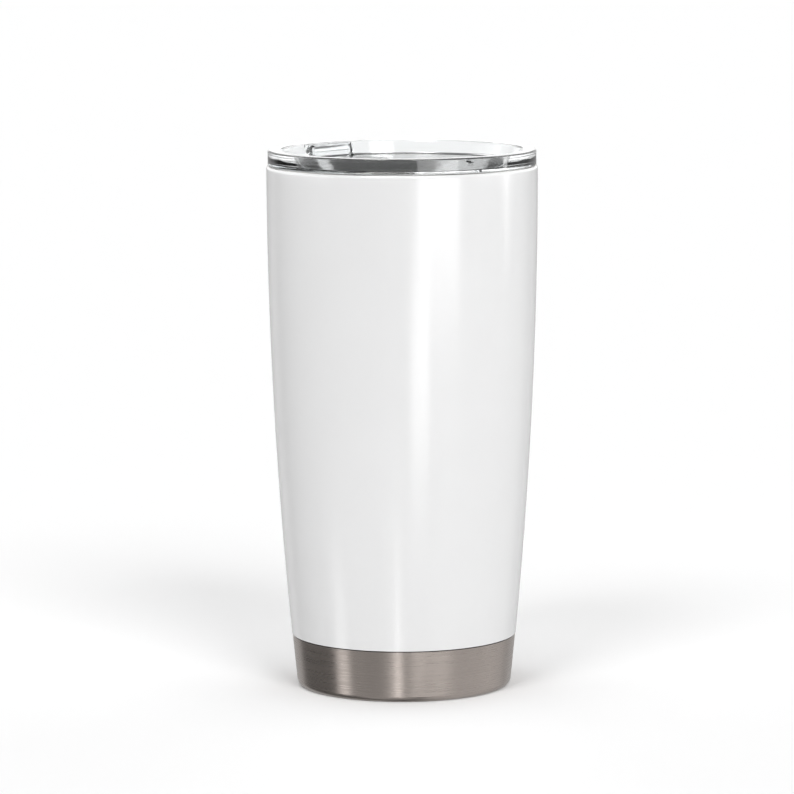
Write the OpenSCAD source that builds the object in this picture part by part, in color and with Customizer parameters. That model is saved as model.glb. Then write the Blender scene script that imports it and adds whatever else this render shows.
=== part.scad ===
// Insulated tumbler: a double-wall vacuum cup in stainless steel with a white powder coat,
// and a clear press-in lid with a sliding closure.
// Frame: origin at the centre of the foot, +Z up the cup's axis, +Y towards the drinking hole.

/* [Cup] */
// Height of the cup without its lid
body_h = 170.5; // [165:0.5:180]
// Outer diameter at the mouth
top_d = 88; // [86:0.5:92]
// Diameter that the side curve would reach at the floor
base_d = 70; // [68:0.5:74]
// Height of the bare steel band under the coat
band_h = 17; // [12:0.5:40]
// Radius of the corner between the side and the foot
corner_r = 2; // [1.5:0.1:4]
// Depth of the recess inside the foot ring
foot_recess = 1; // [0.6:0.1:1.5]

/* [Walls] */
// Thickness of the powder coat
coat_t = 0.15; // [0.1:0.05:0.3]
// Thickness of the outer steel
shell_t = 0.5; // [0.4:0.05:0.6]
// Thickness of the inner steel
liner_t = 0.5; // [0.4:0.05:0.6]
// Whole wall from the outside of the coat to the drink
wall_t = 4; // [3.8:0.1:4.5]
// Radius of the rolled lip
lip_r = 1.2; // [1:0.05:1.4]

/* [Lid] */
// Diameter of the clear ring that rests on the lip
lid_d = 87; // [86:0.5:87.5]
// Height of the ring above the lip
lid_h = 5; // [4.5:0.1:6]
// Depth of the deck below the top of the ring
deck_depth = 4.4; // [3.6:0.1:4.6]
// Thickness of the deck
deck_t = 2; // [1.8:0.1:2.4]
// How far the plug reaches into the mouth
plug_depth = 13; // [12:0.5:16]
// Radial gap between the plug and the mouth
plug_gap = 0.7; // [0.6:0.05:0.9]
// Radial clearance between the seal's lips and the mouth
seal_gap = 0.13; // [0.1:0.01:0.2]
// Diameter of the vent hole
vent_d = 2.4; // [2:0.1:3]

/* [Closure] */
// Width of the drinking hole
sip_w = 15; // [12:0.5:16]
// Length of the drinking hole along the slide
sip_l = 7.8; // [7:0.1:8]
// Width of the slider where it is flush with the deck
slider_w = 18.6; // [17:0.2:20]
// How far the slider travels to open the hole
slider_travel = 12.4; // [12:0.1:13]
// Height of the finger tab above the deck
tab_h = 4.3; // [3:0.1:4.3]

/* [Hidden] */
$fn = 128;

slack = 0.05;                    // gap between pieces that only lie together
top_r = top_d / 2;
side_drop = (top_d - base_d) / 2;
curve_r = (body_h * body_h + side_drop * side_drop) / (2 * side_drop);  // side arc, upright at the lip
wall_pitch = 5;                  // height of each flat along a side arc
arc_steps = 6;                   // flats round a small fillet

shell_in = coat_t + shell_t;     // insets from the outside of the coat
liner_in = wall_t - liner_t;
lip_z = body_h - lip_r;          // where the side meets the rolled lip
seam_z = 4;                      // weld between the shell and the base cap
coat_end = 45;                   // angle round the lip where the coat stops
lip_c = [wall_r(lip_z, coat_t) - lip_r, lip_z];
mouth_c = [wall_r(lip_z, wall_t) + lip_r, lip_z];

floor_z = 10.5;                  // top of the cup's floor
floor_r = 8;                     // corner between the floor and the wall of the liner
vac_z = 6;                       // underside of the vacuum bottom
vac_flange_z = 9.5;
vac_t = 0.5;
port_r = 0.9;
dimple = [9.2, 7.4, 1.2];        // outer radius, inner radius, height
foil_span = [24, 150];
foil_t = 0.15;
getter_at = 17;
getter_r = 4;
getter_h = 1.6;

ring_r = lid_d / 2;
seat_z = body_h + 0.1;           // underside of the ring, just over the lip
ring_z = body_h + lid_h;
deck_z = ring_z - deck_depth;
deck_r = 37.9;
ring_in = 38.8;                  // inner wall of the ring just below its top fillet
plug_r = wall_r(lip_z, wall_t) - plug_gap;
plug_in = 36.6;
plug_z = body_h - plug_depth;
groove = [body_h - 10, body_h - 6, 37.9];  // bottom, top and floor radius of the seal's groove
seal_r = wall_r(body_h - 8, wall_t) - seal_gap;

channel_floor = deck_z - 1.8;
channel_end = 7.6;               // inner end of the slider's channel
channel_r = 37.5;                // outer end, curved with the ring
channel_box_t = 1.6;             // plastic under the channel
sip_y = 29.3;
vent_y = -31;
slide_gap = 0.1;                 // slider clearance under and over its flange
side_gap = 0.15;                 // slider clearance at its sides
flange_w = slider_w + 1.6;
flange_t = 1;
slider_z = channel_floor + slide_gap;
slider_end = channel_end + 0.2 + slider_travel;
slider_r = 37.2;
tab_base = [33, 35.2];           // near and far face of the tab at the deck
tab_top = [33.9, 37.3];          // the same at its top, leaning out over the ring's slope

// Radius of the cup's side at height z, taken inwards by inset.
function wall_r(z, inset = 0) =
    top_r - inset - curve_r + sqrt(curve_r * curve_r - (body_h - z) * (body_h - z));

// Points up (or down) the side between two heights, at the same heights for every layer.
function wall_points(z0, z1, inset) =
    let (low = min(z0, z1),
         high = max(z0, z1),
         levels = [for (k = [floor(low / wall_pitch) + 1 : ceil(high / wall_pitch) - 1]) k * wall_pitch],
         upwards = concat([low], levels, [high]),
         last = len(upwards) - 1)
    [for (i = [0:last]) let (z = upwards[z1 > z0 ? i : last - i]) [wall_r(z, inset), z]];

// Points round an arc of centre c and radius r, from angle a0 to a1.
function arc_points(c, r, a0, a1, steps = arc_steps) =
    [for (i = [0:steps]) let (a = a0 + (a1 - a0) * i / steps) c + r * [cos(a), sin(a)]];

// Centre of a fillet of radius r that touches the side at that inset and a floor at height z.
function corner_c(z, r, inset) =
    [top_r - inset - curve_r + sqrt((curve_r - r) * (curve_r - r) - (body_h - z - r) * (body_h - z - r)),
     z + r];

// Angle at which that fillet meets the side.
function corner_a(c, inset) = -atan2(body_h - c.y, c.x - (top_r - inset - curve_r));

// Height at which that fillet meets the side.
function corner_top(c, r, inset) = c.y + r * sin(corner_a(c, inset));

module revolve(points) {
    rotate_extrude() polygon(points);
}

// Outer steel wall, from the weld at the base cap up to the rolled lip.
module outer_shell() {
    color("#a9a29c")
        revolve(concat(
            wall_points(seam_z, lip_z, coat_t),
            wall_points(lip_z, seam_z, shell_in)));
}

// White coat over the wall and the outer half of the lip.
module powder_coat() {
    color("#f2f2f2")
        revolve(concat(
            wall_points(band_h, lip_z, 0),
            arc_points(lip_c, lip_r + coat_t, 0, coat_end, arc_steps / 2),
            arc_points(lip_c, lip_r, coat_end, 0, arc_steps / 2),
            wall_points(lip_z, band_h, coat_t)));
}

// Inner steel cup. Its mouth rolls outwards to the top of the shell, where the two are welded.
module inner_liner() {
    inner_c = corner_c(floor_z, floor_r, wall_t);
    outer_c = corner_c(floor_z - liner_t, floor_r + liner_t, liner_in);
    color("#b9b6b2")
        revolve(concat(
            arc_points(lip_c, lip_r, 0, 90),
            arc_points(mouth_c, lip_r, 90, 180),
            wall_points(lip_z, corner_top(inner_c, floor_r, wall_t), wall_t),
            arc_points(inner_c, floor_r, corner_a(inner_c, wall_t), -90, 10),
            [[0, floor_z], [0, floor_z - liner_t]],
            arc_points(outer_c, floor_r + liner_t, -90, corner_a(outer_c, liner_in), 10),
            wall_points(corner_top(outer_c, floor_r + liner_t, liner_in), lip_z, liner_in),
            arc_points(mouth_c, lip_r - liner_t, 180, 90),
            arc_points(lip_c, lip_r - shell_t, 90, 0)));
}

// Metal foil wrapped round the liner, which sends radiant heat back.
module heat_foil() {
    color("#c8cacc")
        revolve(concat(
            wall_points(foil_span[0], foil_span[1], liner_in - slack - foil_t),
            wall_points(foil_span[1], foil_span[0], liner_in - slack)));
}

// Inner bottom that closes the vacuum, with the pumping port in a raised dimple.
module vacuum_bottom() {
    out_in = shell_in + slack;
    top_z = vac_z + vac_t;
    flange_c = [wall_r(vac_z + 1, out_in) - 1, vac_z + 1];
    color("#b0aca8")
        revolve(concat(
            [[port_r, vac_z + dimple[2]], [dimple[1], vac_z + dimple[2]], [dimple[0], vac_z]],
            arc_points(flange_c, 1, -90, 0),
            [[wall_r(vac_flange_z, out_in), vac_flange_z],
             [wall_r(vac_flange_z, out_in) - vac_t, vac_flange_z]],
            arc_points(flange_c, 1 - vac_t, 0, -90),
            [[dimple[0] + 0.2, top_z], [dimple[1] + 0.2, top_z + dimple[2]],
             [port_r, top_z + dimple[2]]]));
}

// Pellet that soaks up stray gas in the vacuum.
module getter_pellet() {
    color("#5b5a58")
        translate([getter_at, 0, vac_z + vac_t + slack])
            cylinder(r = getter_r, h = getter_h);
}

// Spot-welded strap that holds the pellet.
module getter_clip() {
    strap_w = 3;
    strap_t = 0.2;
    foot_l = 2;
    base_z = vac_z + vac_t + slack;
    leg_h = getter_h + slack + strap_t;
    reach = getter_r + slack;
    color("#b9b6b2")
        translate([getter_at, 0, base_z]) {
            translate([-strap_w / 2, -reach - strap_t, leg_h - strap_t])
                cube([strap_w, 2 * (reach + strap_t), strap_t]);
            for (side = [0, 1])
                mirror([0, side, 0]) {
                    translate([-strap_w / 2, reach, 0])
                        cube([strap_w, strap_t, leg_h]);
                    translate([-strap_w / 2, reach, 0])
                        cube([strap_w, foot_l, strap_t]);
                }
        }
}

// Bead of solder glass that plugs the pumping port.
module port_seal() {
    roof = vac_z + dimple[2] - slack;
    stem_r = port_r - slack;
    color("#3d4247")
        revolve([[0, vac_z + 0.3], [2.6, vac_z + 0.4], [3.9, vac_z + 0.75], [4.3, roof],
                 [stem_r, roof], [stem_r, roof + vac_t + 0.2], [0, roof + vac_t + 0.4]]);
}

// Outer bottom: corner, foot ring and recessed centre, welded flush to the shell.
module base_cap() {
    inner_r = corner_r - shell_t;
    outer_c = corner_c(0, corner_r, coat_t);
    inner_c = corner_c(shell_t, inner_r, shell_in);
    foot_r = 27;                 // inner edge of the foot ring
    slope = 1.2;
    button_r = 12;               // pressed step round the centre
    step = 0.5;
    color("#a9a29c")
        revolve(concat(
            [[0, foot_recess - step], [button_r - step, foot_recess - step], [button_r, foot_recess],
             [foot_r - slope, foot_recess], [foot_r, 0]],
            arc_points(outer_c, corner_r, -90, corner_a(outer_c, coat_t), 10),
            [[wall_r(seam_z, coat_t), seam_z], [wall_r(seam_z, shell_in), seam_z]],
            arc_points(inner_c, inner_r, corner_a(inner_c, shell_in), -90, 10),
            [[foot_r + 0.2, shell_t], [foot_r - slope + 0.2, foot_recess + shell_t],
             [button_r - 0.2, foot_recess + shell_t], [button_r - step - 0.2, foot_recess + shell_t - step],
             [0, foot_recess + shell_t - step]]));
}

// Flat slot outline with round ends, w across and l along the slide.
module slot_outline(w, l) {
    square([w - l, l], center = true);
    for (side = [-1, 1])
        translate([side * (w - l) / 2, 0])
            circle(d = l);
}

// Straight channel along the slide, w wide, between two heights, its outer end curved with the ring.
module channel_cut(w, z0, z1) {
    intersection() {
        translate([-w / 2, channel_end, z0])
            cube([w, channel_r, z1 - z0]);
        translate([0, 0, z0])
            cylinder(r = channel_r, h = z1 - z0);
    }
}

// Clear lid: ring on the lip, sunken deck, plug with the seal's groove, and the slider's channel.
module lid_body() {
    top_out = 0.9;
    top_in = 0.8;
    small = 0.4;
    under = deck_z - deck_t;
    box_w = flange_w + 4;
    color([0.93, 0.95, 0.96, 0.35])
        difference() {
            union() {
                revolve(concat(
                    [[0, deck_z]],
                    arc_points([deck_r - small, deck_z + small], small, -90, 0, 4),
                    arc_points([ring_in + top_in, ring_z - top_in], top_in, 180, 90),
                    arc_points([ring_r - top_out, ring_z - top_out], top_out, 90, 0),
                    arc_points([ring_r - small, seat_z + small], small, 0, -90, 4),
                    [[plug_r, seat_z], [plug_r, groove[1]], [groove[2], groove[1]],
                     [groove[2], groove[0]], [plug_r, groove[0]], [plug_r, plug_z + small],
                     [plug_r - small, plug_z], [plug_in + small, plug_z], [plug_in, plug_z + small]],
                    arc_points([plug_in - top_in, under - top_in], top_in, 0, 90),
                    [[0, under]]));
                intersection() {
                    translate([-box_w / 2, channel_end - 2, channel_floor - channel_box_t])
                        cube([box_w, plug_in, under - channel_floor + channel_box_t + slack]);
                    cylinder(r = plug_in + slack, h = under + slack);
                }
            }
            channel_cut(slider_w + 2 * side_gap, channel_floor, deck_z + slack);
            channel_cut(flange_w + 2 * side_gap, channel_floor, slider_z + flange_t + slide_gap);
            translate([0, sip_y, channel_floor - channel_box_t - 1])
                linear_extrude(channel_box_t + 2)
                    slot_outline(sip_w, sip_l);
            translate([0, vent_y, under - 1])
                cylinder(d = vent_d, h = deck_t + 2);
        }
}

// Silicone ring with two lips, in the plug's groove.
module lid_seal() {
    back_r = groove[2] + slack;
    low = groove[0] + 0.2;
    high = groove[1] - 0.2;
    root_r = seal_r - 0.85;
    waist_r = seal_r - 0.75;
    color([0.88, 0.9, 0.91])
        revolve([[back_r, low], [root_r, low], [seal_r, low + 0.6], [seal_r, low + 0.9],
                 [waist_r, low + 1.4], [waist_r, low + 2], [seal_r, low + 2.5], [seal_r, low + 2.8],
                 [root_r, high], [back_r, high]]);
}

// Slider: flanged plate that covers the drinking hole, and a leaning finger tab at its outer end.
module lid_slider() {
    tab_r = 6;                   // hollow of the tab's finger face
    face = (tab_base[0] + tab_top[0]) / 2 - 0.35;
    color([0.93, 0.95, 0.96, 0.35]) {
        intersection() {
            union() {
                translate([-flange_w / 2, slider_end, slider_z])
                    cube([flange_w, slider_r, flange_t]);
                translate([-slider_w / 2, slider_end, slider_z])
                    cube([slider_w, slider_r, deck_z - slider_z]);
            }
            translate([0, 0, slider_z - 1])
                cylinder(r = slider_r, h = deck_z);
        }
        difference() {
            translate([slider_w / 2, 0, deck_z - slack])
                rotate([90, 0, -90])
                    linear_extrude(slider_w)
                        polygon([[-tab_base[0], 0], [-tab_base[1], 0], [-tab_top[1], tab_h + slack - 0.3],
                                 [-tab_top[1] + 0.4, tab_h + slack], [-tab_top[0] - 0.3, tab_h + slack],
                                 [-tab_top[0], tab_h + slack - 0.3]]);
            translate([0, face + 0.95 - tab_r, deck_z + tab_h / 2])
                rotate([0, 90, 0])
                    cylinder(r = tab_r, h = slider_w - 3, center = true);
        }
    }
}

outer_shell();
powder_coat();
inner_liner();
heat_foil();
vacuum_bottom();
getter_pellet();
getter_clip();
port_seal();
base_cap();
lid_body();
lid_seal();
lid_slider();
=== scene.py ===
"""The finished pieces of an insulated tumbler with a clear press-in lid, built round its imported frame."""

import math

import bmesh
import bpy
from bpy.props import FloatProperty, FloatVectorProperty, IntProperty, PointerProperty
from mathutils import Matrix, Vector


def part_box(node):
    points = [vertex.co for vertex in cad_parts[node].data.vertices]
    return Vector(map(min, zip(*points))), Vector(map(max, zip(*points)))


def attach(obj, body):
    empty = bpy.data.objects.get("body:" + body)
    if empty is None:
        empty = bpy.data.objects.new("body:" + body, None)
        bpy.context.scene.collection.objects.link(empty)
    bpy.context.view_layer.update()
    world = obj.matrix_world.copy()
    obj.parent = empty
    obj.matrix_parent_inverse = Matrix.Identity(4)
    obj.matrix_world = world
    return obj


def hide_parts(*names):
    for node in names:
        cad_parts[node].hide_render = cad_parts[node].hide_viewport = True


bl_info = {
    "name": "Insulated tumbler",
    "version": (1, 0, 0),
    "blender": (4, 5, 0),
    "location": "View3D > Sidebar > Tumbler",
    "description": "Builds a vacuum tumbler, its clear lid and slider, and a small studio",
    "category": "Object",
}

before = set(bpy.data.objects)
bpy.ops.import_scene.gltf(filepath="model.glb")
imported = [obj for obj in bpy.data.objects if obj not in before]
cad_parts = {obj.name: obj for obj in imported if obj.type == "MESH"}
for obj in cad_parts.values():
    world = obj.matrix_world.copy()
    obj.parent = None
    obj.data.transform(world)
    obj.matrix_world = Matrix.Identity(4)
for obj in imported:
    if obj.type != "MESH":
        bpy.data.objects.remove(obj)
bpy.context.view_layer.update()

MM = 0.001
WALL_PITCH = 4 * MM          # height of one step along the curved side
FILLET_STEP = math.radians(15)
SUPPORT = 0.05 * MM          # distance of the support point beside a fillet
PATH_RADIUS = 20 * MM        # radius of the circle that an outline is swept along
WELD = 0.0002 * MM
SHARP = math.radians(35)     # edges sharper than this stay crisp
PAINTED_SHADOW_LINE = 0.35 * MM       # height of the painted shadow line: steel painted dark just under the coat's edge, where the coat's edge shades it


def top_of(node):
    """Height of a CAD node's highest point."""
    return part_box(node)[1].z


def foot_of(node):
    """Height of a CAD node's lowest point."""
    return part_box(node)[0].z


# ---------------------------------------------------------------- sizes and colours


class TumblerSizes(bpy.types.PropertyGroup):
    """Sizes that the pieces are worked out from"""

    mouth_radius: FloatProperty(
        name="Mouth radius", description="Outer radius of the coat at the lip",
        default=44 * MM, min=40 * MM, max=48 * MM, unit="LENGTH")
    foot_radius: FloatProperty(
        name="Foot radius", description="Radius that the side's curve would reach at the floor",
        default=35 * MM, min=33 * MM, max=37 * MM, unit="LENGTH")
    lip_height: FloatProperty(
        name="Lip height", description="Height of the cup without its lid",
        default=top_of("inner_liner"), unit="LENGTH")
    band_height: FloatProperty(
        name="Band height", description="Height of the bare steel under the coat",
        default=foot_of("powder_coat"), unit="LENGTH")
    coat: FloatProperty(
        name="Coat", description="Thickness of the powder coat",
        default=0.15 * MM, unit="LENGTH")
    sheet: FloatProperty(
        name="Sheet", description="Thickness of the steel",
        default=0.5 * MM, unit="LENGTH")
    wall: FloatProperty(
        name="Wall", description="Whole wall, from the coat to the drink",
        default=4 * MM, unit="LENGTH")
    lip_round: FloatProperty(
        name="Lip round", description="Radius of the rolled lip",
        default=1.2 * MM, unit="LENGTH")
    seam_height: FloatProperty(
        name="Seam height", description="Height of the weld between the wall and the foot cap",
        default=foot_of("outer_shell"), unit="LENGTH")
    lid_radius: FloatProperty(
        name="Lid radius", description="Outer radius of the lid's ring",
        default=43.5 * MM, unit="LENGTH")
    lid_top: FloatProperty(
        name="Lid top", description="Height of the top of the lid's ring",
        default=top_of("lid_body"), unit="LENGTH")
    deck_depth: FloatProperty(
        name="Deck depth", description="Depth of the lid's deck below its ring",
        default=4.4 * MM, unit="LENGTH")
    deck_thickness: FloatProperty(
        name="Deck thickness", description="Thickness of the lid's deck",
        default=2 * MM, unit="LENGTH")
    slider_width: FloatProperty(
        name="Slider width", description="Width of the slider where it shows",
        default=18.6 * MM, unit="LENGTH")
    hole_width: FloatProperty(
        name="Hole width", description="Width of the drinking hole",
        default=15 * MM, unit="LENGTH")
    hole_length: FloatProperty(
        name="Hole length", description="Length of the drinking hole along the slide",
        default=7.8 * MM, unit="LENGTH")
    steps_round: IntProperty(
        name="Steps round", description="Flats round each turned piece",
        default=256, min=64, max=512)


class TumblerColours(bpy.types.PropertyGroup):
    """Colours of the pieces"""

    coat: FloatVectorProperty(
        name="Coat", description="White of the powder coat",
        subtype="COLOR", size=3, min=0, max=1, default=(0.89, 0.89, 0.892))
    steel: FloatVectorProperty(
        name="Steel", description="Bare brushed steel of the wall and the foot",
        subtype="COLOR", size=3, min=0, max=1, default=(0.52, 0.461, 0.425))
    liner: FloatVectorProperty(
        name="Liner", description="Polished steel inside the cup",
        subtype="COLOR", size=3, min=0, max=1, default=(0.7, 0.69, 0.67))
    plastic: FloatVectorProperty(
        name="Clear plastic", description="Tint of the lid and the slider",
        subtype="COLOR", size=3, min=0, max=1, default=(0.96, 0.975, 0.98))
    silicone: FloatVectorProperty(
        name="Silicone", description="Milky silicone of the seal",
        subtype="COLOR", size=3, min=0, max=1, default=(0.82, 0.84, 0.85))


def sizes():
    return bpy.context.scene.tumbler_sizes


def colours():
    return bpy.context.scene.tumbler_colours


# ---------------------------------------------------------------- outlines


def side_radius(z, inset=0.0):
    """Radius of the cup's side at a height, taken inwards by inset.

    The side is one arc, which is upright at the lip.
    """
    s = sizes()
    lean = s.mouth_radius - s.foot_radius
    curve = (s.lip_height ** 2 + lean ** 2) / (2 * lean)
    return s.mouth_radius - inset - curve + math.sqrt(curve ** 2 - (s.lip_height - z) ** 2)


def side(z0, z1, inset=0.0):
    """Plain corners along the side between two heights."""
    steps = max(1, round(abs(z1 - z0) / WALL_PITCH))
    heights = [z0 + (z1 - z0) * i / steps for i in range(steps + 1)]
    return [(side_radius(z, inset), z, 0) for z in heights]


def arc(centre, radius, start, end):
    """Plain corners round an arc, its angles in degrees."""
    steps = max(2, math.ceil(abs(math.radians(end - start)) / FILLET_STEP))
    angles = [math.radians(start + (end - start) * i / steps) for i in range(steps + 1)]
    return [(centre[0] + radius * math.cos(a), centre[1] + radius * math.sin(a), 0) for a in angles]


def fillet(here, before, after, radius):
    """Points round a fillet at a corner, with a support point on each side where there is room."""
    to_before, to_after = before - here, after - here
    half = to_before.angle(to_after) / 2
    reach = radius / math.tan(half)
    u, v = to_before.normalized(), to_after.normalized()
    centre = here + (u + v).normalized() * radius / math.sin(half)
    turn = math.pi - 2 * half
    start, end = here + u * reach - centre, here + v * reach - centre
    steps = max(3, math.ceil(turn / FILLET_STEP))
    points = []
    for i in range(steps + 1):
        share = i / steps
        spoke = start * math.sin((1 - share) * turn) + end * math.sin(share * turn)
        points.append(centre + spoke / math.sin(turn))
    if to_before.length > 2 * reach + 3 * SUPPORT:
        points.insert(0, here + u * (reach + SUPPORT))
    if to_after.length > 2 * reach + 3 * SUPPORT:
        points.append(here + v * (reach + SUPPORT))
    return points


def rounded(corners, closed=True):
    """Points of an outline through corners of (radius or x, height or y, fillet radius)."""
    points = []
    last = len(corners) - 1
    for i, (across, along, radius) in enumerate(corners):
        here = Vector((across, along))
        if radius == 0 or (not closed and i in (0, last)):
            points.append(here)
        else:
            before = Vector(corners[i - 1][:2])
            after = Vector(corners[(i + 1) % len(corners)][:2])
            points.extend(fillet(here, before, after, radius))
    return points


# ---------------------------------------------------------------- meshes


def turned_tree():
    """Geometry Nodes tree that turns an outline about the Z axis and welds its poles."""
    tree = bpy.data.node_groups.new("Turned piece", "GeometryNodeTree")
    for name, kind in (
            ("Outline", "NodeSocketGeometry"), ("Steps round", "NodeSocketInt"),
            ("Path radius", "NodeSocketFloat"), ("Weld distance", "NodeSocketFloat"),
            ("Material", "NodeSocketMaterial")):
        tree.interface.new_socket(name, in_out="INPUT", socket_type=kind)
    tree.interface.new_socket("Piece", in_out="OUTPUT", socket_type="NodeSocketGeometry")
    given = tree.nodes.new("NodeGroupInput")
    result = tree.nodes.new("NodeGroupOutput")
    circle = tree.nodes.new("GeometryNodeCurvePrimitiveCircle")
    sweep = tree.nodes.new("GeometryNodeCurveToMesh")
    weld = tree.nodes.new("GeometryNodeMergeByDistance")
    realize = tree.nodes.new("GeometryNodeRealizeInstances")
    paint = tree.nodes.new("GeometryNodeSetMaterial")
    link = tree.links.new
    link(given.outputs["Steps round"], circle.inputs["Resolution"])
    link(given.outputs["Path radius"], circle.inputs["Radius"])
    link(circle.outputs["Curve"], sweep.inputs["Curve"])
    link(given.outputs["Outline"], sweep.inputs["Profile Curve"])
    link(sweep.outputs["Mesh"], weld.inputs["Geometry"])
    link(given.outputs["Weld distance"], weld.inputs["Distance"])
    link(weld.outputs["Geometry"], realize.inputs["Geometry"])
    link(realize.outputs["Geometry"], paint.inputs["Geometry"])
    link(given.outputs["Material"], paint.inputs["Material"])
    link(paint.outputs["Geometry"], result.inputs["Piece"])
    return tree


def shared_tree(name, make):
    """The node tree of that name, made the first time that it is asked for."""
    return bpy.data.node_groups.get(name) or make()


def through_tree(source, tree, **values):
    """Runs an object's data through a Geometry Nodes tree and returns a plain mesh."""
    modifier = source.modifiers.new("Nodes", "NODES")
    modifier.node_group = tree
    for item in tree.interface.items_tree:
        key = item.name.lower().replace(" ", "_")
        if item.in_out == "INPUT" and key in values:
            modifier[item.identifier] = values[key]
    depsgraph = bpy.context.evaluated_depsgraph_get()
    mesh = bpy.data.meshes.new_from_object(source.evaluated_get(depsgraph))
    source.modifiers.remove(modifier)
    return mesh


def turned(points, closed, material):
    """Mesh of an outline turned about the cup's axis."""
    curve = bpy.data.curves.new("outline", "CURVE")
    curve.dimensions = "3D"
    spline = curve.splines.new("POLY")
    spline.points.add(len(points) - 1)
    for point, place in zip(spline.points, points):
        point.co = (place[0] - PATH_RADIUS, -place[1], 0, 1)
    spline.use_cyclic_u = closed
    source = bpy.data.objects.new("outline", curve)
    bpy.context.scene.collection.objects.link(source)
    mesh = through_tree(
        source, shared_tree("Turned piece", turned_tree), steps_round=sizes().steps_round,
        path_radius=PATH_RADIUS, weld_distance=WELD, material=material)
    bpy.data.objects.remove(source)
    bpy.data.curves.remove(curve)
    return faced(mesh)


def faced(mesh):
    """Turns a closed mesh's faces outwards, and shades it smooth except at its sharp edges."""
    bm = bmesh.new()
    bm.from_mesh(mesh)
    bmesh.ops.remove_doubles(bm, verts=bm.verts, dist=WELD)
    bmesh.ops.recalc_face_normals(bm, faces=bm.faces)
    for face in bm.faces:
        face.smooth = True
    for edge in bm.edges:
        edge.smooth = len(edge.link_faces) == 2 and edge.calc_face_angle() < SHARP
    bm.to_mesh(mesh)
    bm.free()
    return mesh


def prism(outline, z0, z1, material=None):
    """Closed mesh of a flat outline raised from one height to another."""
    bm = bmesh.new()
    low = [bm.verts.new((x, y, z0)) for x, y in outline]
    high = [bm.verts.new((x, y, z1)) for x, y in outline]
    bm.faces.new(low[::-1])
    bm.faces.new(high)
    for i in range(len(outline)):
        j = (i + 1) % len(outline)
        bm.faces.new((low[i], low[j], high[j], high[i]))
    mesh = bpy.data.meshes.new("prism")
    bmesh.ops.recalc_face_normals(bm, faces=bm.faces)
    bm.to_mesh(mesh)
    bm.free()
    if material:
        mesh.materials.append(material)
    return mesh


def combined(mesh, operation, others):
    """Mesh after a union with other closed meshes, or after they are cut out of it."""
    base = bpy.data.objects.new("base", mesh)
    bpy.context.scene.collection.objects.link(base)
    helpers = []
    for other in others:
        helper = bpy.data.objects.new("helper", other)
        bpy.context.scene.collection.objects.link(helper)
        helpers.append(helper)
        modifier = base.modifiers.new("Boolean", "BOOLEAN")
        modifier.operation = operation
        modifier.solver = "EXACT"
        modifier.object = helper
    depsgraph = bpy.context.evaluated_depsgraph_get()
    result = bpy.data.meshes.new_from_object(base.evaluated_get(depsgraph))
    for item in [base] + helpers:
        bpy.data.objects.remove(item)
    return result


def eased(mesh, width, chosen, steps=2):
    """Rounds the sharp edges whose middle passes a test."""
    bm = bmesh.new()
    bm.from_mesh(mesh)
    bmesh.ops.remove_doubles(bm, verts=bm.verts, dist=WELD)
    edges = [
        e for e in bm.edges
        if len(e.link_faces) == 2 and e.calc_face_angle() > SHARP
        and chosen((e.verts[0].co + e.verts[1].co) / 2)]
    bmesh.ops.bevel(
        bm, geom=edges, offset=width, segments=steps, profile=0.5, affect="EDGES", clamp_overlap=True)
    bm.to_mesh(mesh)
    bm.free()
    return mesh


def add_piece(name, mesh, body, slot, *nodes):
    """Makes an object of a finished mesh, which rides on a body and stands for CAD nodes."""
    mesh.name = name
    piece = bpy.data.objects.new(name, mesh)
    bpy.context.scene.collection.objects.link(piece)
    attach(piece, body)
    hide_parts(*nodes)
    return piece


# ---------------------------------------------------------------- materials


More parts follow.
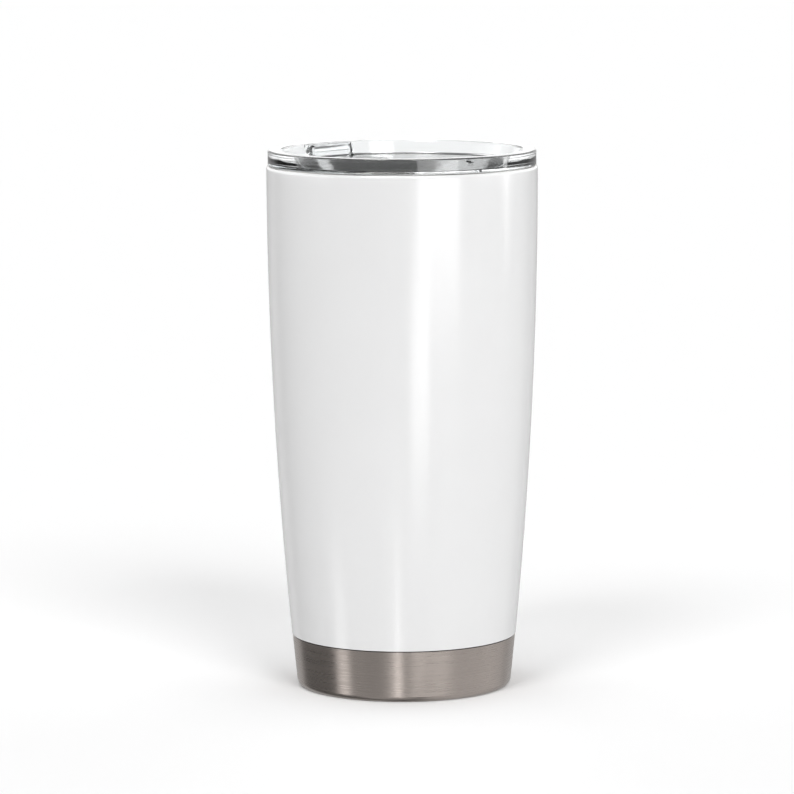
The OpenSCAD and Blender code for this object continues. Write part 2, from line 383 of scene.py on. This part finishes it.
class Finish:
    """A material's nodes, with short ways to add and join them."""

    def __init__(self, name):
        self.material = bpy.data.materials.new(name)
        self.material.use_nodes = True
        self.tree = self.material.node_tree
        self.shader = self.tree.nodes["Principled BSDF"]
        self.place = self.tree.nodes.new("ShaderNodeTexCoord").outputs["Object"]

    def put(self, socket, value):
        """Sets a socket of the Principled shader, or joins an output to it."""
        if isinstance(value, bpy.types.NodeSocket):
            self.tree.links.new(value, self.shader.inputs[socket])
        else:
            self.shader.inputs[socket].default_value = value

    def noise(self, scale, stretch=(1, 1, 1), detail=2.0, roughness=0.5, distortion=0.0):
        """Noise with that many features to a metre, stretched along the axes."""
        mapping = self.tree.nodes.new("ShaderNodeMapping")
        mapping.inputs["Scale"].default_value = stretch
        texture = self.tree.nodes.new("ShaderNodeTexNoise")
        texture.inputs["Scale"].default_value = scale
        texture.inputs["Detail"].default_value = detail
        texture.inputs["Roughness"].default_value = roughness
        texture.inputs["Distortion"].default_value = distortion
        self.tree.links.new(self.place, mapping.inputs["Vector"])
        self.tree.links.new(mapping.outputs["Vector"], texture.inputs["Vector"])
        return texture.outputs["Fac"]

    def spread(self, value, low, high, start=0.3, stop=0.7):
        """Maps a texture's middle range to a range of values."""
        node = self.tree.nodes.new("ShaderNodeMapRange")
        for socket, number in (("From Min", start), ("From Max", stop), ("To Min", low), ("To Max", high)):
            node.inputs[socket].default_value = number
        self.tree.links.new(value, node.inputs["Value"])
        return node.outputs["Result"]

    def math(self, operation, first, second):
        node = self.tree.nodes.new("ShaderNodeMath")
        node.operation = operation
        for socket, value in zip(node.inputs, (first, second)):
            if isinstance(value, bpy.types.NodeSocket):
                self.tree.links.new(value, socket)
            else:
                socket.default_value = value
        return node.outputs["Value"]

    def height(self):
        """Height above the piece's origin."""
        node = self.tree.nodes.new("ShaderNodeSeparateXYZ")
        self.tree.links.new(self.place, node.inputs["Vector"])
        return node.outputs["Z"]

    def tint(self, factor, first, second):
        """Colour between two colours, each of them a plain colour or an output."""
        node = self.tree.nodes.new("ShaderNodeMix")
        node.data_type = "RGBA"
        self.tree.links.new(factor, node.inputs["Factor"])
        colours_in = [socket for socket in node.inputs if socket.type == "RGBA"]
        for socket, value in zip(colours_in, (first, second)):
            if isinstance(value, bpy.types.NodeSocket):
                self.tree.links.new(value, socket)
            else:
                socket.default_value = (*value, 1)
        return [socket for socket in node.outputs if socket.type == "RGBA"][0]

    def bump(self, height, depth, strength=1.0):
        """Bump whose height map stands for that depth in metres."""
        node = self.tree.nodes.new("ShaderNodeBump")
        node.inputs["Distance"].default_value = depth
        node.inputs["Strength"].default_value = strength
        self.tree.links.new(height, node.inputs["Height"])
        self.put("Normal", node.outputs["Normal"])


def darker(colour, share):
    return tuple(c * share for c in colour)


def powder_coat_finish():
    """White cured powder: satin, faintly uneven, with a soft orange peel."""
    f = Finish("white powder coat")
    white = tuple(colours().coat)
    f.put("Base Color", f.tint(f.spread(f.noise(45, detail=3), 0, 1), darker(white, 0.985), white))
    f.put("Roughness", f.spread(f.noise(70, detail=1), 0.255, 0.27))
    f.put("IOR", 1.55)
    f.put("Coat Weight", 0.8)
    f.put("Coat Roughness", 0.16)
    f.bump(f.noise(420, detail=1.5), 0.0015 * MM)
    return f.material


def brushed(name, base, roughness, grain, shadow_line_height=None):
    """Steel brushed round the axis, with fine level lines and long streaks.

    Above the given shadow line height it is painted dark: a painted shadow, a fine line drawn on the steel
    just under the edge of the coat, standing in for the shade that the coat's edge casts.
    """
    f = Finish(name)
    lines = f.noise(40, stretch=(1, 1, 90), detail=6, roughness=0.75)
    streaks = f.noise(14, stretch=(1, 1, 60), detail=3, roughness=0.6)
    mixed = f.math("ADD", f.math("MULTIPLY", lines, 0.6), f.math("MULTIPLY", streaks, 0.4))
    steel = f.tint(f.spread(mixed, 0, 1), darker(base, 1 - grain), base)
    if shadow_line_height:
        # painted shadow: a fine dark line of steel just under the coat's edge, where the coat's edge would
        # shade it
        steel = f.tint(f.math("GREATER_THAN", f.height(), shadow_line_height), steel, darker(base, 0.12))
    f.put("Base Color", steel)
    f.put("Metallic", 1.0)
    f.put("Roughness", f.spread(lines, roughness - 0.05, roughness + 0.07))
    f.put("Anisotropic", 0.5)
    f.put("Anisotropic Rotation", 0.25)
    tangent = f.tree.nodes.new("ShaderNodeTangent")
    tangent.direction_type = "RADIAL"
    tangent.axis = "Z"
    f.put("Tangent", tangent.outputs["Tangent"])
    f.bump(lines, 0.003 * MM)
    return f.material


def clear_plastic_finish():
    """Clear moulded plastic with faint flow ripples and fine scuffs."""
    f = Finish("clear plastic")
    f.put("Base Color", (*colours().plastic, 1))
    f.put("Roughness", f.spread(f.noise(900, stretch=(1, 1, 0.3), detail=4), 0.015, 0.05))
    f.put("IOR", 1.52)
    f.put("Transmission Weight", 1.0)
    f.bump(f.noise(160, stretch=(1, 1, 2.5), detail=1.5), 0.02 * MM)
    return f.material


def silicone_finish():
    """Milky silicone with a dusty, soft skin."""
    f = Finish("milky silicone")
    milky = tuple(colours().silicone)
    f.put("Base Color", f.tint(f.spread(f.noise(200), 0, 1), darker(milky, 0.94), milky))
    f.put("Roughness", f.spread(f.noise(1200, detail=3), 0.38, 0.55))
    f.put("Transmission Weight", 0.25)
    f.put("Subsurface Weight", 0.3)
    f.put("Subsurface Radius", (MM, MM, MM))
    f.bump(f.noise(1500, detail=3), 0.004 * MM)
    return f.material


def foil_finish():
    """Bright crumpled aluminium foil."""
    f = Finish("aluminium foil")
    dull, bright = (0.72, 0.73, 0.74), (0.86, 0.87, 0.88)
    f.put("Base Color", f.tint(f.spread(f.noise(120, detail=4), 0, 1), dull, bright))
    f.put("Metallic", 1.0)
    f.put("Roughness", f.spread(f.noise(300, detail=4), 0.16, 0.34))
    f.bump(f.noise(260, detail=5), 0.15 * MM)
    return f.material


def getter_finish():
    """Dull pressed powder pellet."""
    f = Finish("getter pellet")
    pore, grain = (0.07, 0.068, 0.065), (0.2, 0.19, 0.18)
    f.put("Base Color", f.tint(f.spread(f.noise(2500, detail=4), 0, 1), pore, grain))
    f.put("Metallic", 0.4)
    f.put("Roughness", f.spread(f.noise(1800, detail=3), 0.6, 0.85))
    f.bump(f.noise(3200, detail=5), 0.03 * MM)
    return f.material


def solder_glass_finish():
    """Dark fused glass bead."""
    f = Finish("solder glass")
    deep, pale = (0.02, 0.024, 0.03), (0.06, 0.07, 0.08)
    f.put("Base Color", f.tint(f.spread(f.noise(600, detail=3), 0, 1), deep, pale))
    f.put("Roughness", f.spread(f.noise(900), 0.08, 0.2))
    f.put("Coat Weight", 0.5)
    f.bump(f.noise(700, detail=2), 0.02 * MM)
    return f.material


def shared_finish(name, make):
    """The material of that name, made the first time that it is asked for."""
    return bpy.data.materials.get(name) or make()


def wall_steel():
    # the painted shadow line runs up to the coat's lower edge
    shadow_line_height = sizes().band_height - PAINTED_SHADOW_LINE
    return shared_finish(
        "brushed steel",
        lambda: brushed("brushed steel", tuple(colours().steel), 0.28, 0.1, shadow_line_height))


def liner_steel():
    return shared_finish(
        "satin liner steel", lambda: brushed("satin liner steel", tuple(colours().liner), 0.26, 0.08))


# ---------------------------------------------------------------- pieces


class Builder:
    """What every piece's operator shares."""

    bl_options = {"REGISTER"}

    def execute(self, context):
        self.build(sizes())
        return {"FINISHED"}


def lip_centres(s):
    """Centres of the outer and inner rounds of the rolled lip."""
    height = s.lip_height - s.lip_round
    outer = (side_radius(height, s.coat) - s.lip_round, height)
    inner = (side_radius(height, s.wall) + s.lip_round, height)
    return outer, inner


class TUMBLER_OT_outer_wall(Builder, bpy.types.Operator):
    """Builds the powder coat, the bare steel wall under it and the foot cap"""

    bl_idname = "tumbler.outer_wall"
    bl_label = "Outer wall"

    def build(self, s):
        outer, _ = lip_centres(s)
        inner_face = s.coat + s.sheet
        edge = 0.05 * MM
        coat_end = 45
        skin = (
            [(side_radius(s.band_height, s.coat), s.band_height, 0),
             (side_radius(s.band_height), s.band_height, edge)]
            + side(s.band_height + WALL_PITCH / 2, outer[1])
            + arc(outer, s.lip_round + s.coat, 0, coat_end)[1:]
            + arc(outer, s.lip_round, coat_end, 0)
            + side(outer[1], s.band_height + WALL_PITCH / 2, s.coat)[1:])
        coat = shared_finish("white powder coat", powder_coat_finish)
        add_piece(
            "powder_coat_skin", turned(rounded(skin), True, coat), "cup", "powder_coat", "powder_coat")

        wall = side(s.seam_height, outer[1], s.coat) + side(outer[1], s.seam_height, inner_face)
        add_piece("steel_wall", turned(rounded(wall), True, wall_steel()), "cup", "steel", "outer_shell")
        self.build_foot(s, inner_face)

    def build_foot(self, s, inner_face):
        corner = 2 * MM
        ring = 27 * MM
        slope = 1.2 * MM
        recess = 1 * MM
        button = 12 * MM
        step = 0.5 * MM
        soft = 0.6 * MM
        t = s.sheet
        foot = [
            (0, recess - step, 0),
            (button - step, recess - step, soft),
            (button, recess, soft),
            (ring - slope, recess, soft),
            (ring, 0, soft),
            (side_radius(0, s.coat), 0, corner),
            (side_radius(s.seam_height, s.coat), s.seam_height, 0),
            (side_radius(s.seam_height, inner_face), s.seam_height, 0),
            (side_radius(t, inner_face), t, corner - t),
            (ring + t / 2, t, soft),
            (ring - slope + t / 2, recess + t, soft),
            (button - t / 2, recess + t, soft),
            (button - step - t / 2, recess + t - step, soft),
            (0, recess + t - step, 0)]
        add_piece(
            "foot_cap", turned(rounded(foot, closed=False), False, wall_steel()), "cup", "steel", "base_cap")


class TUMBLER_OT_inner_cup(Builder, bpy.types.Operator):
    """Builds the inner steel cup with its rolled lip"""

    bl_idname = "tumbler.inner_cup"
    bl_label = "Inner cup"

    def build(self, s):
        outer, inner = lip_centres(s)
        floor = foot_of("inner_liner") + s.sheet
        corner = 8 * MM
        start = floor + corner + 1 * MM
        t = s.sheet
        backs = s.wall - t
        cup = (
            [(0, floor, 0), (side_radius(floor, s.wall), floor, corner)]
            + side(start, inner[1], s.wall)
            + arc(inner, s.lip_round, 180, 90)[1:]
            + arc(outer, s.lip_round, 90, 0)
            + arc(outer, s.lip_round - t, 0, 90)
            + arc(inner, s.lip_round - t, 90, 180)
            + side(inner[1], start, backs)[1:]
            + [(side_radius(floor - t, backs), floor - t, corner + t), (0, floor - t, 0)])
        add_piece(
            "liner_cup", turned(rounded(cup, closed=False), False, liner_steel()),
            "cup", "liner_steel", "inner_liner")


class TUMBLER_OT_vacuum_parts(Builder, bpy.types.Operator):
    """Builds what is sealed between the walls: foil, vacuum bottom, getter, its strap and the port's bead"""

    bl_idname = "tumbler.vacuum_parts"
    bl_label = "Vacuum parts"

    def build(self, s):
        self.build_foil(s)
        self.build_bottom(s)
        self.build_getter(s)

    def build_foil(self, s):
        low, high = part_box("heat_foil")
        slack = 0.05 * MM
        thickness = 0.15 * MM
        inset = s.wall - s.sheet - slack
        wrap = side(low.z, high.z, inset - thickness) + side(high.z, low.z, inset)
        foil = shared_finish("aluminium foil", foil_finish)
        add_piece("heat_foil_wrap", turned(rounded(wrap), True, foil), "cup", "foil", "heat_foil")

    def build_bottom(self, s):
        low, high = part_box("vacuum_bottom")
        t = 0.5 * MM
        inset = s.coat + s.sheet + 0.05 * MM
        port = 0.9 * MM
        rise = 1.2 * MM
        soft = 0.4 * MM
        outer_round = 1 * MM
        dimple_out, dimple_in = 9.2 * MM, 7.4 * MM
        pan = [
            (port, low.z + rise, 0.1 * MM),
            (dimple_in, low.z + rise, soft),
            (dimple_out, low.z, soft),
            (side_radius(low.z, inset), low.z, outer_round),
            (side_radius(high.z, inset), high.z, 0.1 * MM),
            (side_radius(high.z, inset) - t, high.z, 0.1 * MM),
            (side_radius(low.z + t, inset) - t, low.z + t, outer_round - t),
            (dimple_out + t / 2, low.z + t, soft),
            (dimple_in + t / 2, low.z + rise + t, soft),
            (port, low.z + rise + t, 0.1 * MM)]
        add_piece(
            "vacuum_pan", turned(rounded(pan), True, liner_steel()), "cup", "liner_steel", "vacuum_bottom")
        foot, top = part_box("port_seal")
        roof = low.z + rise - 0.05 * MM
        stem = port - 0.05 * MM
        bead = [
            (0, foot.z, 0),
            (2.8 * MM, foot.z + 0.05 * MM, 1.2 * MM),
            (4.25 * MM, roof, 0.15 * MM),
            (stem, roof, 0),
            (stem, top.z, 0.4 * MM),
            (0, top.z, 0)]
        glass = shared_finish("solder glass", solder_glass_finish)
        mesh = turned(rounded(bead, closed=False), False, glass)
        add_piece("port_bead", mesh, "cup", "solder_glass", "port_seal")

    def build_getter(self, s):
        low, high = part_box("getter_pellet")
        centre = (low + high) / 2
        radius = (high.x - low.x) / 2
        edge = 0.3 * MM
        pellet = [(0, low.z, 0), (radius, low.z, edge), (radius, high.z, edge), (0, high.z, 0)]
        powder = shared_finish("getter pellet", getter_finish)
        mesh = turned(rounded(pellet, closed=False), False, powder)
        mesh.transform(Matrix.Translation((centre.x, 0, 0)))
        add_piece("getter_puck", mesh, "cup", "getter", "getter_pellet")

        low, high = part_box("getter_clip")
        t = 0.2 * MM
        foot = 2 * MM
        bend = 0.25 * MM
        half = high.y - foot
        outline = rounded([
            (-high.y, low.z, 0), (-half, low.z, 0), (-half, high.z - t, bend), (half, high.z - t, bend),
            (half, low.z, 0), (high.y, low.z, 0), (high.y, low.z + t, 0), (half + t, low.z + t, bend / 2),
            (half + t, high.z, bend), (-half - t, high.z, bend), (-half - t, low.z + t, bend / 2),
            (-high.y, low.z + t, 0)])
        strap = prism(outline, low.x, high.x, liner_steel())
        strap.transform(Matrix(((0, 0, 1, 0), (1, 0, 0, 0), (0, 1, 0, 0), (0, 0, 0, 1))))
        add_piece("getter_strap", faced(strap), "cup", "liner_steel", "getter_clip")


def lid_levels(s):
    """Heights of the lid's deck, its underside and its slider channel's floor."""
    deck = s.lid_top - s.deck_depth
    channel_depth = 1.8 * MM
    return deck, deck - s.deck_thickness, deck - channel_depth


def channel_outline(half, start, end_radius):
    """Straight-sided outline along +Y whose far end follows a circle about the axis."""
    reach = math.degrees(math.asin(half / end_radius))
    end = [(x, y) for x, y, _ in arc((0, 0), end_radius, 90 - reach, 90 + reach)]
    return [(-half, start), (half, start)] + end


def hole_outline(s):
    """Round-ended slot of the drinking hole, across the slide."""
    middle = 29.3 * MM
    radius = s.hole_length / 2
    off = s.hole_width / 2 - radius
    steps = 24
    ends = []
    for side_x, start in ((off, -90), (-off, 90)):
        for i in range(steps + 1):
            a = math.radians(start + 180 * i / steps)
            ends.append((side_x + radius * math.cos(a), middle + radius * math.sin(a)))
    return ends


CHANNEL_START = 7.6 * MM
CHANNEL_END = 37.5 * MM
FLANGE = 0.8 * MM            # width of the slider's hidden flange on each side


class TUMBLER_OT_lid(Builder, bpy.types.Operator):
    """Builds the clear lid with its channel, drinking hole and vent, and the seal in its groove"""

    bl_idname = "tumbler.lid"
    bl_label = "Lid"

    def build(self, s):
        deck, under, channel = lid_levels(s)
        seat = s.lip_height + 0.1 * MM
        plug = side_radius(s.lip_height - s.lip_round, s.wall) - 0.7 * MM
        plug_in = 36.6 * MM
        foot = foot_of("lid_body")
        groove_low, groove_high, groove_back = s.lip_height - 10 * MM, s.lip_height - 6 * MM, 37.9 * MM
        outline = [
            (0, deck, 0),
            (37.75 * MM, deck, 0.4 * MM),
            (39.1 * MM, s.lid_top, 0.8 * MM),
            (s.lid_radius, s.lid_top, 0.5 * MM),
            (s.lid_radius, seat, 0.15 * MM),
            (plug, seat, 0.3 * MM),
            (plug, groove_high, 0.15 * MM),
            (groove_back, groove_high, 0.15 * MM),
            (groove_back, groove_low, 0.15 * MM),
            (plug, groove_low, 0.15 * MM),
            (plug, foot, 0.4 * MM),
            (plug_in, foot, 0.4 * MM),
            (plug_in, under, 0.8 * MM),
            (0, under, 0)]
        plastic = shared_finish("clear plastic", clear_plastic_finish)
        body = turned(rounded(outline, closed=False), False, plastic)

        overlap = 0.05 * MM
        gap = 0.15 * MM
        half = s.slider_width / 2 + gap
        box_floor = channel - 1.6 * MM
        margin = 2 * MM
        pad = channel_outline(
            s.slider_width / 2 + FLANGE + margin, CHANNEL_START - margin, plug_in + overlap)
        body = combined(body, "UNION", [prism(pad, box_floor, under + overlap)])
        vent_y = -31 * MM
        vent = [(x, y) for x, y, _ in arc((0, vent_y), 1.2 * MM, 0, 360)[:-1]]
        slider_lip = channel + 1.2 * MM
        body = combined(body, "DIFFERENCE", [
            prism(channel_outline(half, CHANNEL_START, CHANNEL_END), channel, deck + MM),
            prism(channel_outline(half + FLANGE, CHANNEL_START, CHANNEL_END), channel, slider_lip),
            prism(hole_outline(s), box_floor - MM, channel + overlap),
            prism(vent, under - MM, deck + MM)])
        add_piece("clear_lid", faced(body), "lid", "clear_plastic", "lid_body")
        self.build_seal(s, groove_back)

    def build_seal(self, s, groove_back):
        low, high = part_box("lid_seal")
        back = groove_back + 0.05 * MM
        lips = high.x
        waist, root = lips - 0.75 * MM, lips - 0.85 * MM
        soft = 0.12 * MM
        outline = [
            (back, low.z, soft), (root, low.z, soft),
            (lips, low.z + 0.6 * MM, soft), (lips, low.z + 0.9 * MM, soft),
            (waist, low.z + 1.4 * MM, soft), (waist, low.z + 2 * MM, soft),
            (lips, low.z + 2.5 * MM, soft), (lips, low.z + 2.8 * MM, soft),
            (root, high.z, soft), (back, high.z, soft)]
        silicone = shared_finish("milky silicone", silicone_finish)
        add_piece("silicone_seal", turned(rounded(outline), True, silicone), "lid", "silicone", "lid_seal")


class TUMBLER_OT_slider(Builder, bpy.types.Operator):
    """Builds the clear slider with its leaning finger tab"""

    bl_idname = "tumbler.slider"
    bl_label = "Slider"

    def build(self, s):
        deck, _, _ = lid_levels(s)
        low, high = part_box("lid_slider")
        plastic = shared_finish("clear plastic", clear_plastic_finish)
        half = s.slider_width / 2
        end_radius = 37.2 * MM
        flange_top = low.z + 1 * MM
        plate = prism(channel_outline(half, low.y, end_radius), low.z, deck, plastic)
        flange = prism(channel_outline(half + FLANGE, low.y, end_radius), low.z, flange_top)
        body = combined(plate, "UNION", [flange, self.tab(s, deck, high.z)])
        body = eased(body, 0.15 * MM, lambda place: place.z > flange_top + 0.1 * MM)
        add_piece("clear_slider", faced(body), "slider", "clear_plastic", "lid_slider")

    def tab(self, s, deck, top):
        """The upright tab, hollowed for a finger on its near face and leaning out over the ring's slope."""
        corner = 0.3 * MM
        sunk = 0.05 * MM
        near, far = 33 * MM, 35.2 * MM
        top_near, top_far = 33.9 * MM, 37.3 * MM
        outline = rounded([
            (near, deck - sunk, 0), (far, deck - sunk, 0),
            (top_far, top - corner, corner), (top_far - corner, top, 0), (top_near, top, corner)])
        tab = prism([(y, z) for y, z in outline], -s.slider_width / 2, s.slider_width / 2)
        tab.transform(Matrix(((0, 0, 1, 0), (1, 0, 0, 0), (0, 1, 0, 0), (0, 0, 0, 1))))
        radius = 6 * MM
        margin = 1.5 * MM
        centre = (34.05 * MM - radius, (deck + top) / 2)
        hollow = [(y, z) for y, z, _ in arc(centre, radius, 0, 360)[:-1]]
        cutter = prism(hollow, margin - s.slider_width / 2, s.slider_width / 2 - margin)
        cutter.transform(Matrix(((0, 0, 1, 0), (1, 0, 0, 0), (0, 1, 0, 0), (0, 0, 0, 1))))
        return combined(tab, "DIFFERENCE", [cutter])


# ---------------------------------------------------------------- studio


class TumblerStudio(bpy.types.PropertyGroup):
    """The camera and the light of the studio"""

    azimuth: FloatProperty(
        name="Azimuth", description="Direction of the camera round the tumbler",
        default=math.radians(-43), subtype="ANGLE")
    distance: FloatProperty(
        name="Distance", description="Level distance of the camera from the cup's axis",
        default=1.4471, unit="LENGTH")
    height: FloatProperty(
        name="Height", description="Height of the camera above the floor",
        default=0.28609, unit="LENGTH")
    pitch: FloatProperty(
        name="Pitch", description="How far the camera looks down",
        default=math.radians(7.543), subtype="ANGLE")
    yaw: FloatProperty(
        name="Yaw", description="How far the camera looks past the axis, to the right",
        default=math.radians(-0.077), subtype="ANGLE")
    roll: FloatProperty(
        name="Roll", description="Tilt of the camera about its own axis",
        default=math.radians(-0.242), subtype="ANGLE")
    lens: FloatProperty(name="Lens", description="Focal length in millimetres", default=202.9)
    floor_white: FloatProperty(
        name="Floor white", description="Brightness of the floor, as the camera sees it", default=0.91)


# Softboxes of the studio: azimuth from the camera to the right, half width, lowest and highest
# elevation and feather, all in degrees, then radiance.
PANELS = {
    "dome": (180, 181, 12, 80, 8, 0.28),
    "backdrop": (180, 75, 1, 8, 2, 1.4),
    "back right": (137, 28, 9, 45, 5, 1.1),
    "back left": (-137, 28, 9, 45, 5, 1.0),
    "back window right": (175.7, 2.5, 9, 24, 0.3, 1.2),
    "back window left": (185.5, 0.9, 9, 24, 0.3, 1.5),
    "overhead": (180, 181, 72, 95, 6, 2.3),
    "high right": (22, 12, 28, 48, 3, 9.6),
    "high left": (-28, 12, 38, 58, 3, 8.0),
    "key": (31, 18, -8.3, 5, 1, 3.7),
    "key foot": (15, 8, -14.6, -8.3, 1.5, 4.3),
    "right": (84, 20, 2, 20, 3, 1.8),
    "left": (-90, 25, 2, 20, 3, 1.9),
    "right edge": (99, 2.5, -5.4, 5, 1, 4.4),
    "left strip": (-69, 7.5, -30, -18, 2, 2.3),
    "sliver": (-6.3, 1.7, -30, -19, 1.2, 6.4),
    "sliver glow": (-12, 7, -30, -19, 6, 0.6),
    "middle fill": (-20, 36, -75, -10, 5, 0.45),
    "right fill": (80, 55, -75, 0, 10, 0.63),
    "rear fill": (180, 42, -75, 0, 8, 0.5),
    "left fill": (-95, 48, -75, 0, 8, 0.12),
}


class World:
    """The studio's light as one world shader, with a soft-edged rectangle of light for each panel."""

    def __init__(self, azimuth):
        world = bpy.data.worlds.new("Studio")
        bpy.context.scene.world = world
        world.use_nodes = True
        self.tree = world.node_tree
        self.background = self.tree.nodes["Background"]
        turn = self.tree.nodes.new("ShaderNodeVectorRotate")
        turn.rotation_type = "Z_AXIS"
        turn.inputs["Angle"].default_value = -azimuth
        place = self.tree.nodes.new("ShaderNodeTexCoord")
        split = self.tree.nodes.new("ShaderNodeSeparateXYZ")
        self.tree.links.new(place.outputs["Generated"], turn.inputs["Vector"])
        self.tree.links.new(turn.outputs["Vector"], split.inputs["Vector"])
        back = self.math("MULTIPLY", split.outputs["Y"], -1.0)
        self.azimuth = self.math("ARCTAN2", split.outputs["X"], back)
        self.elevation = self.math("ARCSINE", split.outputs["Z"])

    def math(self, operation, *values):
        node = self.tree.nodes.new("ShaderNodeMath")
        node.operation = operation
        for socket, value in zip(node.inputs, values):
            if isinstance(value, bpy.types.NodeSocket):
                self.tree.links.new(value, socket)
            else:
                socket.default_value = value
        return node.outputs["Value"]

    def ramp(self, value, dark, bright):
        """0 at one angle and 1 at another, smooth between them."""
        node = self.tree.nodes.new("ShaderNodeMapRange")
        node.interpolation_type = "SMOOTHSTEP"
        node.inputs["From Min"].default_value = dark
        node.inputs["From Max"].default_value = bright
        self.tree.links.new(value, node.inputs["Value"])
        return node.outputs["Result"]

    def panel(self, azimuth, half_width, low, high, feather, radiance):
        angles = (azimuth, half_width, low, high, feather)
        azimuth, half_width, low, high, feather = map(math.radians, angles)
        off = self.math("WRAP", self.math("SUBTRACT", self.azimuth, azimuth), math.pi, -math.pi)
        across = self.ramp(self.math("ABSOLUTE", off), half_width + feather, half_width - feather)
        above = self.ramp(self.elevation, low - feather, low + feather)
        below = self.ramp(self.elevation, high + feather, high - feather)
        shape = self.math("MULTIPLY", across, self.math("MULTIPLY", above, below))
        return self.math("MULTIPLY", shape, radiance)

    def finish(self, panels):
        total = 0.0
        for panel in panels:
            total = self.math("ADD", self.panel(*panel), total)
        self.tree.links.new(total, self.background.inputs["Strength"])
        self.background.inputs["Color"].default_value = (1, 1, 1, 1)
        white = self.tree.nodes.new("ShaderNodeBackground")
        white.inputs["Color"].default_value = (1, 1, 1, 1)
        mix = self.tree.nodes.new("ShaderNodeMixShader")
        path = self.tree.nodes.new("ShaderNodeLightPath")
        self.tree.links.new(path.outputs["Is Camera Ray"], mix.inputs["Fac"])
        self.tree.links.new(self.background.outputs["Background"], mix.inputs[1])
        self.tree.links.new(white.outputs["Background"], mix.inputs[2])
        self.tree.links.new(mix.outputs["Shader"], self.tree.nodes["World Output"].inputs["Surface"])


PAPER_WHITE = 0.7            # what the floor gives back of the light that falls on it


def floor_finish(brightness):
    """Pale paper floor, brighter to the camera and through clear plastic than to bounced light."""
    material = bpy.data.materials.new("white sweep")
    material.use_nodes = True
    tree = material.node_tree
    tree.nodes.remove(tree.nodes["Principled BSDF"])
    mix = tree.nodes.new("ShaderNodeMixShader")
    path = tree.nodes.new("ShaderNodeLightPath")
    seen = tree.nodes.new("ShaderNodeMath")
    seen.operation = "MAXIMUM"
    tree.links.new(path.outputs["Is Camera Ray"], seen.inputs[0])
    tree.links.new(path.outputs["Is Transmission Ray"], seen.inputs[1])
    tree.links.new(seen.outputs["Value"], mix.inputs["Fac"])
    for socket, white in ((1, PAPER_WHITE), (2, brightness)):
        paper = tree.nodes.new("ShaderNodeBsdfDiffuse")
        paper.inputs["Color"].default_value = (white, white, white, 1)
        tree.links.new(paper.outputs["BSDF"], mix.inputs[socket])
    tree.links.new(mix.outputs["Shader"], tree.nodes["Material Output"].inputs["Surface"])
    return material


class TUMBLER_OT_stage(bpy.types.Operator):
    """Makes the pale floor, the soft light and the camera"""

    bl_idname = "tumbler.stage"
    bl_label = "Studio"
    bl_options = {"REGISTER"}

    def execute(self, context):
        studio = context.scene.tumbler_studio
        half = 9.0               # half of the floor's side, in metres
        corners = ((-half, -half), (half, -half), (half, half), (-half, half))
        bm = bmesh.new()
        bm.faces.new([bm.verts.new((x, y, 0)) for x, y in corners])
        mesh = bpy.data.meshes.new("floor")
        bm.to_mesh(mesh)
        bm.free()
        mesh.materials.append(floor_finish(studio.floor_white))
        floor = bpy.data.objects.new("floor", mesh)
        context.scene.collection.objects.link(floor)
        floor.visible_glossy = False

        World(studio.azimuth).finish(PANELS.values())
        self.place_camera(context, studio)
        context.scene.view_settings.view_transform = "Standard"
        return {"FINISHED"}

    def place_camera(self, context, studio):
        data = bpy.data.cameras.new("Camera")
        data.sensor_width = 36
        data.lens = studio.lens
        camera = bpy.data.objects.new("Camera", data)
        context.scene.collection.objects.link(camera)
        turn = Matrix.Rotation(studio.azimuth, 3, "Z")
        ahead = turn @ Vector((
            math.sin(studio.yaw) * math.cos(studio.pitch),
            math.cos(studio.yaw) * math.cos(studio.pitch),
            -math.sin(studio.pitch)))
        camera.location = turn @ Vector((0, -studio.distance, studio.height))
        facing = ahead.to_track_quat("-Z", "Y").to_matrix() @ Matrix.Rotation(studio.roll, 3, "Z")
        camera.rotation_euler = facing.to_euler()
        context.scene.camera = camera


# ---------------------------------------------------------------- add-on


class TUMBLER_PT_panel(bpy.types.Panel):
    """Lists the tumbler's sizes, colours and pieces"""

    bl_label = "Insulated tumbler"
    bl_idname = "TUMBLER_PT_panel"
    bl_space_type = "VIEW_3D"
    bl_region_type = "UI"
    bl_category = "Tumbler"

    def draw(self, context):
        for title, group in (
                ("Sizes", context.scene.tumbler_sizes), ("Colours", context.scene.tumbler_colours),
                ("Studio", context.scene.tumbler_studio)):
            self.layout.label(text=title)
            for name in group.__annotations__:
                self.layout.prop(group, name)
        for operator in OPERATORS:
            self.layout.operator(operator.bl_idname)


OPERATORS = (
    TUMBLER_OT_outer_wall,
    TUMBLER_OT_inner_cup,
    TUMBLER_OT_vacuum_parts,
    TUMBLER_OT_lid,
    TUMBLER_OT_slider,
    TUMBLER_OT_stage,
)
CLASSES = (TumblerSizes, TumblerColours, TumblerStudio, *OPERATORS, TUMBLER_PT_panel)


def register():
    for item in CLASSES:
        bpy.utils.register_class(item)
    bpy.types.Scene.tumbler_sizes = PointerProperty(type=TumblerSizes)
    bpy.types.Scene.tumbler_colours = PointerProperty(type=TumblerColours)
    bpy.types.Scene.tumbler_studio = PointerProperty(type=TumblerStudio)


def unregister():
    del bpy.types.Scene.tumbler_studio
    del bpy.types.Scene.tumbler_colours
    del bpy.types.Scene.tumbler_sizes
    for item in reversed(CLASSES):
        bpy.utils.unregister_class(item)


def main():
    register()
    bpy.ops.tumbler.outer_wall()
    bpy.ops.tumbler.inner_cup()
    bpy.ops.tumbler.vacuum_parts()
    bpy.ops.tumbler.lid()
    bpy.ops.tumbler.slider()
    bpy.ops.tumbler.stage()


if __name__ == "__main__":
    main()
